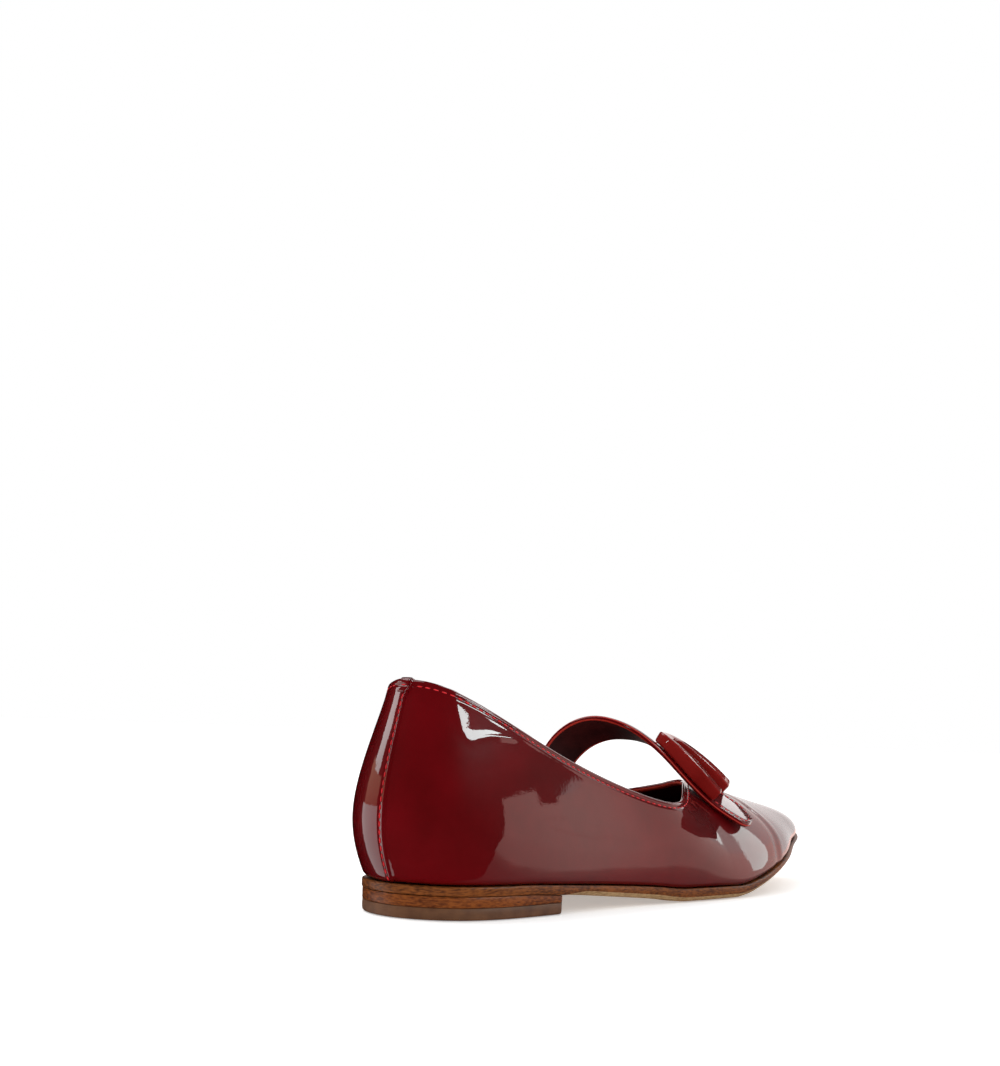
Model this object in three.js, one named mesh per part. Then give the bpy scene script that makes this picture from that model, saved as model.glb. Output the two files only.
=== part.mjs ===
// Mary jane shoe for the right foot, in millimetres. +Z is up, +Y runs to the toe,
// +X is the outer (lateral) side. The origin is the middle of the heel's flat foot.
// Seven closed solids: top piece, heel lift, outsole, insole, upper, strap, buckle.
import * as THREE from "three";

// ---- named sizes ---------------------------------------------------------
const HEEL_CENTRE = 27;      // from the back of the sole to the origin
const HEEL_BREAST = 53.4;    // front face of the heel, from the back of the sole
const TOP_PIECE = 3.6;       // height of the rubber top piece
const TOP_PIECE_RIM = 0.5;   // its lower rim is taken off by this much
const GLUE_GAP = 0.1;        // between the top piece and the lift
const SEAM = 0.3;            // clearance between pieces that meet on a curve
const WELT = 0.8;            // the sole shows this far past the upper
const WALL = 1.8;            // upper and lining together
const INSOLE = 2.4;          // insole board and sock
const INSOLE_GAP = 0.7;      // between the insole's edge and the inside of the upper
const INSOLE_RIM = 0.6;      // rounding of the insole's upper rim
const BEVEL = 1.5;           // rounding under the sole's edge, forward of the heel
const STRAP_WIDTH = 13.2;
const STRAP_THICK = 1.9;
const STRAP_RIM = 0.45;      // the strap's edges are taken off by this much
const FRAME_BAR = 4.8;       // width of the covered buckle's bars
const FRAME_HIGH = 3.7;      // height of the near bar at its ends
const FRAME_CROWN = 1.7;     // the bars are this much higher half way along
const FRAME_RISE = 0.7;      // the far bar is this much higher than the near one
const FRAME_SPREAD = 10.2;   // between the middles of the two long bars
const FRAME_SHIFT = 0.4;     // the frame's middle lies this far in front of the strap's
const FRAME_SLANT = 0.3;     // the far bar sits this share of its distance further along
const FRAME_FROM = 66;       // the buckle's closed end, along the strap
const FRAME_TO = 92.5;       // the near bar's open end, along the strap
const FRAME_LONGER = 2;      // the far bar reaches this much further
const FRAME_CORNER = 3.2;    // radius of the closed end's corners
const FRAME_RIM = 0.7;       // the bars' edges are taken off by this much

// ---- the shoe in sections, once round the last from the back seam, outer side first
// x, y: edge of the sole.  tx, ty, tz: the topline above it.
// lean, wall: the side's outward lean (degrees) and how far it holds it (mm).
// fall, crown: the slope of the surface where it leaves the topline, and its reach.
const ROUND = table(["x", "y", "tx", "ty", "tz", "lean", "wall", "fall", "crown"], {
  back:       [  0.0,   0.0,   0.0,   4.5, 70.3, 30, 22, 14, 26],
  corner_out: [ 18.6,   8.6,  11.0,   8.8, 68.6, 22, 22, 14, 24],
  seat_out:   [ 26.3,  31.0,  18.6,  25.0, 61.0, 10, 18, 12, 20],
  shank_out:  [ 27.4,  62.0,  22.6,  60.0, 46.8, 12, 13, 10, 13],
  waist_out:  [ 28.6,  95.0,  25.8,  93.0, 36.6, 15, 11,  8, 10],
  ball_out:   [ 33.2, 128.0,  27.2, 116.0, 33.4, 15, 10, 35,  8],
  joint_out:  [ 34.8, 156.0,  17.2, 133.6, 38.0, 10, 11, 66, 13],
  side_out:   [ 29.4, 187.0,   8.4, 146.6, 39.3,  8, 11, 78, 24],
  nose_out:   [ 17.2, 214.0,   4.0, 151.4, 39.4,  9, 11, 79, 34],
  cheek_out:  [  8.6, 232.0,   2.0, 152.8, 39.3, 10, 10, 79, 43],
  tip:        [ -0.5, 240.5,   0.0, 153.2, 39.0, 12, 10, 79, 46],
  cheek_in:   [ -9.6, 232.0,  -2.0, 152.8, 38.5, 10, 10, 79, 44],
  nose_in:    [-19.6, 216.0,  -4.0, 152.0, 37.8,  9, 11, 79, 36],
  side_in:    [-32.6, 193.0,  -9.0, 149.4, 36.5,  8, 11, 78, 27],
  joint_in:   [-39.0, 170.0, -16.5, 143.5, 34.8, 10, 11, 66, 17],
  ball_in:    [-35.5, 140.0, -24.5, 126.0, 33.4, 14, 12, 38, 12],
  waist_in:   [-27.5, 108.0, -26.4, 104.0, 35.0, 14, 13, 10, 12],
  shank_in:   [-25.4,  72.0, -23.2,  70.0, 43.2, 12, 14,  8, 14],
  seat_in:    [-26.3,  31.0, -18.6,  25.0, 61.0, 10, 18, 12, 20],
  corner_in:  [-18.6,   8.6, -11.0,   8.8, 68.6, 24, 24, 14, 24],
});
// over the toes the surface leaves the topline straight ahead, at the sides square to
// the sole's edge; the change is spread over these distances between the two edges
const AHEAD_FROM = 8;
const AHEAD_OVER = 12;

// ---- the sole from the side: height of its underside and its thickness, along the foot
const SIDE = table(["y", "under", "thick"], {
  back:    [  0, 7.1, 2.8],
  seat:    [ 33, 6.8, 2.8],
  breast:  [ 56, 5.4, 3.1],
  shank:   [ 80, 3.4, 3.7],
  waist:   [100, 1.7, 4.1],
  tread:   [118, 0.0, 4.4],
  joint:   [145, 0.0, 4.1],
  flex:    [151, 0.6, 3.9],
  bend:    [160, 2.5, 3.5],
  rise:    [172, 5.4, 3.1],
  toe_box: [185, 8.4, 2.8],
  spring:  [200, 11.0, 2.5],
  nose:    [218, 13.6, 2.3],
  tip:     [241, 15.8, 2.2],
});

// ---- the strap's middle line, from inside the inner quarter to its tip on the outer vamp
// tilt: how far the front edge is let down (degrees)
// skew: how far the strap's width turns from straight ahead towards the outer side
const STRAP = table(["x", "y", "z", "tilt", "skew"], {
  root:      [-23.2, 107.5, 22.0,  6, 0.02],
  collar:    [-22.4, 109.0, 36.0, 10, 0.05],
  rise:      [-22.2, 111.5, 45.0, 22, 0.16],
  bend:      [-17.8, 114.0, 52.0, 29, 0.28],
  crown:     [ -9.0, 116.5, 56.6, 34, 0.30],
  fall:      [  1.4, 121.5, 55.8, 36, 0.30],
  frame_in:  [  9.6, 128.1, 50.8, 36, 0.30],
  frame_mid: [ 16.8, 135.6, 42.2, 33, 0.30],
  frame_out: [ 23.2, 144.6, 33.9, 28, 0.31],
  tip:       [ 30.7, 157.2, 25.9, 27, 0.29],
});

// ---- looks
const PATENT = { color: 0x7a0812, roughness: 0.12 };
const SOLE_LEATHER = { color: 0x6b4526, roughness: 0.6 };
const STACKED_LEATHER = { color: 0x8a5230, roughness: 0.5 };
const SOCK_LEATHER = { color: 0x5a1216, roughness: 0.8 };
const RUBBER = { color: 0x4a3a30, roughness: 0.85 };

// a table by columns, from rows that are named
function table(columns, rows) {
  const list = Object.values(rows);
  return Object.fromEntries(columns.map((column, i) => [column, list.map((row) => row[i])]));
}

// ---- vectors -------------------------------------------------------------
const rad = (degrees) => (degrees * Math.PI) / 180;
const clamp01 = (x) => Math.min(1, Math.max(0, x));
const sub = (a, b) => a.map((x, i) => x - b[i]);
const add = (a, b, k = 1) => a.map((x, i) => x + k * b[i]);
const dot = (a, b) => a[0] * b[0] + a[1] * b[1] + a[2] * b[2];

function cross(a, b) {
  return [a[1] * b[2] - a[2] * b[1], a[2] * b[0] - a[0] * b[2], a[0] * b[1] - a[1] * b[0]];
}

function unit(a) {
  const length = Math.hypot(...a);
  return a.map((x) => x / length);
}

// ---- curves --------------------------------------------------------------
// a cubic between two stations h apart, from the values va, vb and the bends ma, mb
// at its ends; x is the distance from the first
function cubic(h, x, va, vb, ma, mb) {
  const y = h - x;
  const bent = (ma * y ** 3 + mb * x ** 3) / (6 * h);
  return bent + (va / h - (ma * h) / 6) * y + (vb / h - (mb * h) / 6) * x;
}

// smooth closed curve through values v at stations t in [0,1)
function closedCurve(t, v) {
  const n = t.length;
  const h = t.map((a, i) => (i < n - 1 ? t[i + 1] : 1) - a);
  const A = t.map(() => t.map(() => 0));
  const b = t.map(() => 0);
  for (let i = 0; i < n; i++) {
    const p = (i + n - 1) % n;
    const q = (i + 1) % n;
    A[i][p] += h[p];
    A[i][i] += 2 * (h[p] + h[i]);
    A[i][q] += h[i];
    b[i] = 6 * ((v[q] - v[i]) / h[i] - (v[i] - v[p]) / h[p]);
  }
  const m = solve(A, b);
  return (where) => {
    const s = ((where % 1) + 1) % 1;
    let i = n - 1;
    while (t[i] > s) i--;
    const q = (i + 1) % n;
    return cubic(h[i], s - t[i], v[i], v[q], m[i], m[q]);
  };
}

// smooth open curve with free ends
function openCurve(t, v) {
  const n = t.length;
  const A = t.map(() => t.map(() => 0));
  const b = t.map(() => 0);
  A[0][0] = 1;
  A[n - 1][n - 1] = 1;
  for (let i = 1; i < n - 1; i++) {
    const g = t[i] - t[i - 1];
    const h = t[i + 1] - t[i];
    A[i][i - 1] = g;
    A[i][i] = 2 * (g + h);
    A[i][i + 1] = h;
    b[i] = 6 * ((v[i + 1] - v[i]) / h - (v[i] - v[i - 1]) / g);
  }
  const m = solve(A, b);
  return (s) => {
    const i = stretch(t, s);
    return cubic(t[i + 1] - t[i], s - t[i], v[i], v[i + 1], m[i], m[i + 1]);
  };
}

// curve that never overshoots its rows: flat rows stay flat
function steadyCurve(t, v) {
  const n = t.length;
  const h = [];
  const d = [];
  for (let i = 0; i < n - 1; i++) {
    h.push(t[i + 1] - t[i]);
    d.push((v[i + 1] - v[i]) / h[i]);
  }
  const m = t.map((_, i) => {
    if (i === 0) return d[0];
    if (i === n - 1) return d[n - 2];
    if (d[i - 1] * d[i] <= 0) return 0;
    const a = 2 * h[i] + h[i - 1];
    const c = h[i] + 2 * h[i - 1];
    return (a + c) / (a / d[i - 1] + c / d[i]);
  });
  return (s) => {
    const i = stretch(t, s);
    const u = (s - t[i]) / h[i];
    const w = 1 - u;
    const start = v[i] * w * w * (1 + 2 * u) + m[i] * h[i] * u * w * w;
    return start + v[i + 1] * u * u * (3 - 2 * u) - m[i + 1] * h[i] * u * u * w;
  };
}

// which stretch between stations holds s
function stretch(t, s) {
  let i = 0;
  while (i < t.length - 2 && t[i + 1] < s) i++;
  return i;
}

// linear equations by elimination
function solve(A, b) {
  const n = b.length;
  for (let c = 0; c < n; c++) {
    let p = c;
    for (let r = c + 1; r < n; r++) {
      if (Math.abs(A[r][c]) > Math.abs(A[p][c])) p = r;
    }
    [A[c], A[p]] = [A[p], A[c]];
    [b[c], b[p]] = [b[p], b[c]];
    for (let r = c + 1; r < n; r++) {
      const f = A[r][c] / A[c][c];
      for (let k = c; k < n; k++) A[r][k] -= f * A[c][k];
      b[r] -= f * b[c];
    }
  }
  for (let c = n - 1; c >= 0; c--) {
    for (let k = c + 1; k < n; k++) b[c] -= A[c][k] * b[k];
    b[c] /= A[c][c];
  }
  return b;
}

// ---- the last ------------------------------------------------------------
// each section's place round the loop is its share of the way round the sole's edge
function sharesRound() {
  const n = ROUND.x.length;
  const step = ROUND.x.map((x, i) => {
    const j = (i + 1) % n;
    return Math.hypot(ROUND.x[j] - x, ROUND.y[j] - ROUND.y[i]);
  });
  const all = step.reduce((a, b) => a + b, 0);
  let run = 0;
  return step.map((s) => {
    const share = run / all;
    run += s;
    return share;
  });
}
const stations = sharesRound();
const round = Object.fromEntries(
  Object.keys(ROUND).map((key) => [key, closedCurve(stations, ROUND[key])]),
);
const under = steadyCurve(SIDE.y, SIDE.under);
const thick = steadyCurve(SIDE.y, SIDE.thick);
const seat = (y) => under(y) + thick(y);      // top of the sole

// the flat direction square to the sole's edge
function outward(q) {
  const h = 1e-4;
  const dx = round.x(q + h) - round.x(q - h);
  const dy = round.y(q + h) - round.y(q - h);
  const n = Math.hypot(dx, dy);
  return [dy / n, -dx / n];
}

function edge(q, inset) {
  const [nx, ny] = outward(q);
  return [round.x(q) - inset * nx, round.y(q) - inset * ny];
}

// outer face of the upper: q round the last, v from the sole (0) to the topline (1)
function shell(q, v) {
  const [nx, ny] = outward(q);
  const [fx, fy] = edge(q, WELT);
  const fz = seat(fy) + SEAM;
  const tx = round.tx(q);
  const ty = round.ty(q);
  const tz = round.tz(q);
  const lean = rad(round.lean(q));
  const fall = rad(round.fall(q));
  const far = Math.hypot(fx - tx, fy - ty);
  const ahead = clamp01((far - AHEAD_FROM) / AHEAD_OVER);
  const dx = (1 - ahead) * nx + (ahead * (fx - tx)) / far;
  const dy = (1 - ahead) * ny + (ahead * (fy - ty)) / far;
  const n = Math.hypot(dx, dy);
  const out = Math.sin(lean) * round.wall(q);
  const up = Math.cos(lean) * round.wall(q);
  const forth = (Math.sin(fall) * round.crown(q)) / n;
  const down = Math.cos(fall) * round.crown(q);
  const points = [
    [fx, fy, fz],
    [fx + nx * out, fy + ny * out, fz + up],
    [tx + dx * forth, ty + dy * forth, tz - down],
    [tx, ty, tz],
  ];
  const w = 1 - v;
  const weights = [w ** 3, 3 * v * w * w, 3 * v * v * w, v ** 3];
  return [0, 1, 2].map((axis) => points.reduce((sum, p, i) => sum + weights[i] * p[axis], 0));
}

function shellNormal(q, v) {
  const h = 1e-3;
  const low = Math.max(0, v - h);
  const high = Math.min(1, v + h);
  const n = unit(cross(sub(shell(q + h, v), shell(q - h, v)), sub(shell(q, high), shell(q, low))));
  if (v > 0) return n;
  return unit([n[0], n[1], 0]);               // the foot of the wall is cut level
}

// ---- meshes --------------------------------------------------------------
// a mesh from points and triangles, turned so that its faces look outward
function solid(name, points, faces, look) {
  let volume = 0;
  for (const [a, b, c] of faces) volume += dot(points[a], cross(points[b], points[c]));
  const corners = [];
  for (const [a, b, c] of faces) {
    for (const i of volume > 0 ? [a, b, c] : [a, c, b]) {
      const [x, y, z] = points[i];
      corners.push(x, y - HEEL_CENTRE, z);
    }
  }
  const geometry = new THREE.BufferGeometry();
  geometry.setAttribute("position", new THREE.Float32BufferAttribute(corners, 3));
  geometry.computeVertexNormals();
  const mesh = new THREE.Mesh(geometry, new THREE.MeshStandardMaterial(look));
  mesh.name = name;
  return mesh;
}

// bands of quads between rings of equal length
function bands(rings) {
  const n = rings[0].length;
  const faces = [];
  for (let r = 0; r + 1 < rings.length; r++) {
    for (let i = 0; i < n; i++) {
      const a = r * n + i;
      const b = r * n + ((i + 1) % n);
      faces.push([a, b, b + n], [a, b + n, a + n]);
    }
  }
  return faces;
}

// lid on a ring that runs from the back round the outer side and home: triangles
// run straight across the foot, so a lid follows the sole's side view
function lid(ring, first, flip) {
  const n = ring.length;
  const faces = [];
  let out = 0;                                  // climbs the outer side from the back
  let home = n;                                 // climbs the inner side from the back
  const y = (i) => ring[i % n][1];
  while (home - out > 1) {
    const stepOut = home - out === 2 || y(out + 1) <= y(home - 1);
    const face = stepOut ? [out, out + 1, home % n] : [out, home - 1, home % n];
    if (stepOut) out++;
    else home--;
    if (new Set(face).size === 3) faces.push(flip ? [face[0], face[2], face[1]] : face);
  }
  return faces.map((face) => face.map((i) => i + first));
}

// a flat layer of stacked rings with a lid below and above
function slab(name, rings, look) {
  const top = (rings.length - 1) * rings[0].length;
  const faces = [...bands(rings), ...lid(rings[0], 0, true), ...lid(rings.at(-1), top, false)];
  return solid(name, rings.flat(), faces, look);
}

// ---- the sole and the insole ---------------------------------------------
const AROUND = 112;                             // points once round the sole's edge
const loop = Array.from({ length: AROUND }, (_, i) => i / AROUND);

// a ring along the sole's edge at height(y)
function ringAt(inset, height, shares = loop) {
  return shares.map((q) => {
    const [x, y] = edge(q, inset);
    return [x, y, height(y)];
  });
}

// forward of the heel the sole's edge is rounded under
const bevel = (y) => BEVEL * clamp01((y - HEEL_BREAST + 2) / 12);

function outsole() {
  return slab("outsole", [
    ringAt(4.5, under),
    ringAt(1.2, (y) => under(y) + 0.3 * bevel(y)),
    ringAt(0.25, (y) => under(y) + bevel(y)),
    ringAt(0, seat),
  ], SOLE_LEATHER);
}

function insole() {
  const inset = WELT + WALL + INSOLE_GAP;
  return slab("insole", [
    ringAt(inset, (y) => seat(y) + SEAM),
    ringAt(inset, (y) => seat(y) + SEAM + INSOLE - INSOLE_RIM),
    ringAt(inset + INSOLE_RIM, (y) => seat(y) + SEAM + INSOLE),
  ], SOCK_LEATHER);
}

// ---- the heel ------------------------------------------------------------
// where the sole's edge crosses the breast, between two places round the loop
function breastBetween(from, to) {
  const behind = (q) => round.y(q) < HEEL_BREAST;
  let low = from;
  let high = to;
  for (let k = 0; k < 50; k++) {
    const middle = (low + high) / 2;
    if (behind(middle) === behind(low)) low = middle;
    else high = middle;
  }
  return low;
}

// the heel follows the sole's edge from one end of the breast, round the back, to the other
function heelShares() {
  const half = 22;
  const outer = breastBetween(0.02, 0.3);
  const inner = breastBetween(0.98, 0.7);
  return [
    ...Array.from({ length: half + 1 }, (_, i) => (outer * i) / half),
    ...Array.from({ length: half }, (_, i) => inner + ((1 - inner) * i) / half),
  ];
}

function heelRing(inset, height) {
  const limit = HEEL_BREAST - Math.max(0, inset - TOP_PIECE_RIM);
  return ringAt(inset, height, heelShares()).map(([x, y, z]) => [x, Math.min(y, limit), z]);
}

function topPiece() {
  return slab("top_piece", [
    heelRing(0.9, () => 0),
    heelRing(0.4, () => TOP_PIECE_RIM),
    heelRing(0.4, () => TOP_PIECE),
  ], RUBBER);
}

function heelLift() {
  return slab("heel_lift", [
    heelRing(0.35, () => TOP_PIECE + GLUE_GAP),
    heelRing(0.25, (y) => under(y) - SEAM + 0.05),
  ], STACKED_LEATHER);
}

// ---- the upper -----------------------------------------------------------
// one hollow wall: up the outside, over the topline and down the inside
function upper() {
  const climbs = 13;
  const rings = [];
  for (let r = 0; r <= climbs; r++) {
    rings.push(loop.map((q) => shell(q, r / climbs)));
  }
  for (let r = climbs; r >= 0; r--) {
    rings.push(loop.map((q) => add(shell(q, r / climbs), shellNormal(q, r / climbs), -WALL)));
  }
  const count = AROUND * rings.length;
  const faces = bands([...rings, rings[0]]).map((face) => face.map((i) => i % count));
  return solid("upper", rings.flat(), faces, PATENT);
}

// ---- the strap and its covered buckle ------------------------------------
function strapRun() {
  const { x, y, z } = STRAP;
  const run = [0];
  for (let i = 1; i < x.length; i++) {
    run.push(run[i - 1] + Math.hypot(x[i] - x[i - 1], y[i] - y[i - 1], z[i] - z[i - 1]));
  }
  return run;
}
const strapStations = strapRun();
const STRAP_LONG = strapStations.at(-1);
const strapCurve = Object.fromEntries(
  Object.keys(STRAP).map((key) => [key, openCurve(strapStations, STRAP[key])]),
);

// a point on the strap: s along it, w across it (front edge positive), h above its middle
function onStrap(s, w, h) {
  const place = (t) => [strapCurve.x(t), strapCurve.y(t), strapCurve.z(t)];
  const along = unit(sub(place(s + 0.01), place(s - 0.01)));
  const ahead = [strapCurve.skew(s), 1, 0];
  const level = unit(add(ahead, along, -dot(ahead, along)));
  const tilt = rad(strapCurve.tilt(s));
  const over = unit(add(level.map((k) => k * Math.cos(tilt)), cross(along, level), -Math.sin(tilt)));
  return add(add(place(s), over, w), cross(along, over), h);
}

// an eight-sided bar section from bottom to top, half width a, corners taken off by c
function bar(a, bottom, top, c) {
  return [
    [-a, bottom + c], [-a + c, bottom], [a - c, bottom], [a, bottom + c],
    [a, top - c], [a - c, top], [-a + c, top], [-a, top - c],
  ];
}

function sweep(name, rings, look) {
  const n = rings[0].length;
  const faces = bands(rings);
  const last = (rings.length - 1) * n;
  for (let i = 1; i < n - 1; i++) faces.push([0, i + 1, i], [last, last + i, last + i + 1]);
  return solid(name, rings.flat(), faces, look);
}

function strap() {
  const half = STRAP_WIDTH / 2;
  const body = STRAP_LONG - half;
  const steps = 38;
  const tipSteps = 9;
  const section = (s, w) => {
    const rim = Math.min(STRAP_RIM, w * 0.4);
    return bar(w, -STRAP_THICK / 2, STRAP_THICK / 2, rim).map(([a, b]) => onStrap(s, a, b));
  };
  const rings = [];
  for (let i = 0; i <= steps; i++) rings.push(section((body * i) / steps, half));
  for (let i = 1; i <= tipSteps; i++) {
    const turn = (i / tipSteps) * rad(84);
    rings.push(section(body + half * Math.sin(turn), half * Math.cos(turn)));
  }
  return sweep("strap", rings, PATENT);
}

// the buckle is a three-sided frame, closed towards the inner side, open towards the tip;
// its middle line, as places along and across, from the near bar's end to the far bar's
function bucklePath() {
  const half = FRAME_SPREAD / 2;
  const steps = 14;
  const cornerSteps = 5;
  const oneSide = (side, to) => {
    const from = FRAME_FROM + FRAME_CORNER;
    const places = [];
    for (let i = 0; i <= steps; i++) places.push([to + ((from - to) * i) / steps, side * half]);
    for (let i = 1; i <= cornerSteps; i++) {
      const turn = rad((90 * i) / cornerSteps);
      const across = half - FRAME_CORNER + FRAME_CORNER * Math.cos(turn);
      places.push([from - FRAME_CORNER * Math.sin(turn), side * across]);
    }
    return places;
  };
  return [...oneSide(-1, FRAME_TO), ...oneSide(1, FRAME_TO + FRAME_LONGER).reverse()];
}

function buckle() {
  const path = bucklePath();
  const low = STRAP_THICK / 2 + SEAM;
  const middle = (FRAME_FROM + FRAME_TO) / 2;
  const reach = (FRAME_TO - FRAME_FROM) / 2 + FRAME_LONGER;
  const rings = path.map(([s, k], i) => {
    const before = path[Math.max(0, i - 1)];
    const after = path[Math.min(path.length - 1, i + 1)];
    const [ds, dk] = unit(sub(after, before));
    const atEnd = i === 0 || i === path.length - 1;
    const share = atEnd ? 0.75 : 1;
    const crown = FRAME_CROWN * (1 - ((s - middle) / reach) ** 2);
    const high = FRAME_HIGH + crown + FRAME_RISE * (0.5 + k / FRAME_SPREAD);
    const inset = (high * (1 - share)) / 4;
    return bar((FRAME_BAR / 2) * share, low + inset, low + high - inset, FRAME_RIM).map(([a, b]) => {
      const across = k - ds * a;
      return onStrap(s + dk * a + FRAME_SLANT * across, across + FRAME_SHIFT, b);
    });
  });
  return sweep("buckle", rings, PATENT);
}

const shoe = new THREE.Group();
shoe.name = "mary_jane_shoe";
shoe.add(topPiece(), heelLift(), outsole(), insole(), upper(), strap(), buckle());
export default shoe;
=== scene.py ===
# %% [markdown]
# # A patent leather mary jane
# One low shoe for the right foot: a stacked leather heel, a thin leather sole, a
# closed upper of red patent leather with a leather lining, and one strap over the
# instep that carries a covered buckle. The solids of the shoe come packed as a
# fixed frame. Each of them is rebuilt here as a finer surface in the same place,
# because a glossy leather shows every facet, seam and stitch of what is under it.

import math

import bmesh
import bpy
import numpy as np
from mathutils import Matrix, Vector


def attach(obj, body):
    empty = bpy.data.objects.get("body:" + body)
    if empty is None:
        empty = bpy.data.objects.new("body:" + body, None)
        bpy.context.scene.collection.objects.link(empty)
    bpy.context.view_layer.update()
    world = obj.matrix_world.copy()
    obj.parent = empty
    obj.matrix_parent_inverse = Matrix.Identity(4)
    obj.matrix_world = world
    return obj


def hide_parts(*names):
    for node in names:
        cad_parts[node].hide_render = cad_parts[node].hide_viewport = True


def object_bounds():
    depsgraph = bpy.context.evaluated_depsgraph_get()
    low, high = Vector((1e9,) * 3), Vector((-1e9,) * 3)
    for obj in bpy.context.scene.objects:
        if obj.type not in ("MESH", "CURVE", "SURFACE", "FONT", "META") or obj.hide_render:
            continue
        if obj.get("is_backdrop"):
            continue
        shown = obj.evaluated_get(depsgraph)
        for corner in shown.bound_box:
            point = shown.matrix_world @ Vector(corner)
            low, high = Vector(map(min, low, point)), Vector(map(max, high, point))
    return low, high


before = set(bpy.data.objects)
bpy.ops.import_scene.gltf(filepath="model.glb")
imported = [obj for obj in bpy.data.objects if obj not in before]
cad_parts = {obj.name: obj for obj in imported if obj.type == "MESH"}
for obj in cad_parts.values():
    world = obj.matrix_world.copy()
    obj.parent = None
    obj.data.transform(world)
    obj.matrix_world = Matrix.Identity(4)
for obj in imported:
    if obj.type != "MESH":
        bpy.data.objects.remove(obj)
cad_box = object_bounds()
print("solids:", ", ".join(sorted(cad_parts)))
print("box of the solids:", [[round(c, 4) for c in corner] for corner in cad_box])

# %% [markdown]
# ## Sizes
# A shoemaker measures in millimetres from the back of the sole, so this script does
# too: x to the outer side, y to the toe, z up. `to_frame` turns such points into
# metres in the row frame, whose origin is under the middle of the heel.

# %% Named sizes
HEEL_CENTRE = 27.0       # from the back of the sole to the origin
HEEL_BREAST = 53.4       # front face of the heel
TOP_PIECE = 3.6          # rubber top piece, the layer that is walked on
GLUE_GAP = 0.1           # between the top piece and the lift
LIFT_GAP = 0.12          # between the lift and the sole, which shows as a fine joint
SEAM = 0.3               # clearance between pieces that meet on a curve
WELT = 0.8               # the sole shows this far past the upper
WALL = 1.8               # upper and lining together
INSOLE = 2.4             # insole board and sock
BEVEL = 1.5              # rounding under the sole's edge
STRAP_WIDTH = 13.2
STRAP_THICK = 1.9
STRAP_CROWN = 0.22       # the strap's top is this much higher along its middle
FRAME_BAR = 4.8          # width of the covered buckle's bars
FRAME_HIGH = 3.7         # height of the near bar at its ends
FRAME_CROWN = 1.7        # the bars are this much higher half way along
FRAME_RISE = 0.7         # the far bar is this much higher than the near one
FRAME_SPREAD = 10.2      # between the middles of the two long bars
FRAME_SHIFT = 0.4        # the frame's middle lies this far in front of the strap's
FRAME_SLANT = 0.3        # the far bar sits this share of its distance further along
FRAME_FROM = 66.0        # the closed end, along the strap
FRAME_TO = 92.5          # the near bar's open end
FRAME_LONGER = 2.0       # the far bar reaches this much further
FRAME_CORNER = 3.2       # radius of the closed end's corners
STITCH_IN = 2.0          # the topline's stitches run this far from its edge
STRAP_STITCH_IN = 1.8    # and the strap's this far from its own
SEAM_STITCH_IN = 1.3     # the back seam's, behind the edge of the lap


def to_frame(points):
    """Millimetres from the back of the sole, to metres in the row frame."""
    return (np.asarray(points, float) - [0.0, HEEL_CENTRE, 0.0]) / 1000.0


def smooth_step(x):
    x = np.clip(x, 0.0, 1.0)
    return x * x * (3.0 - 2.0 * x)


def bump_at(x, middle, reach):
    """A soft ridge of height 1 at middle."""
    return np.exp(-(((x - middle) / reach) ** 2))


def unit(v):
    return v / np.linalg.norm(v, axis=-1, keepdims=True)


def run_along(points):
    """The distance from the first point to each one, along them."""
    return np.append(0, np.cumsum(np.linalg.norm(np.diff(points, axis=0), axis=1)))


# %% [markdown]
# ## The last
# A shoe takes its shape from the last, the wooden foot that it is pulled over. It is
# described here as a tailor would: sections are taken round the edge of the sole,
# and each has the place of the sole's edge, the place of the topline above it, and
# how the surface leaves the one and reaches the other. Smooth closed curves join the
# sections, so the surface has no corner anywhere.

# %% Sections round the last
AHEAD_FROM = 8           # where the sole's edge is further than this from the topline,
AHEAD_OVER = 12          # over this distance, the surface turns to leave it straight ahead

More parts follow.
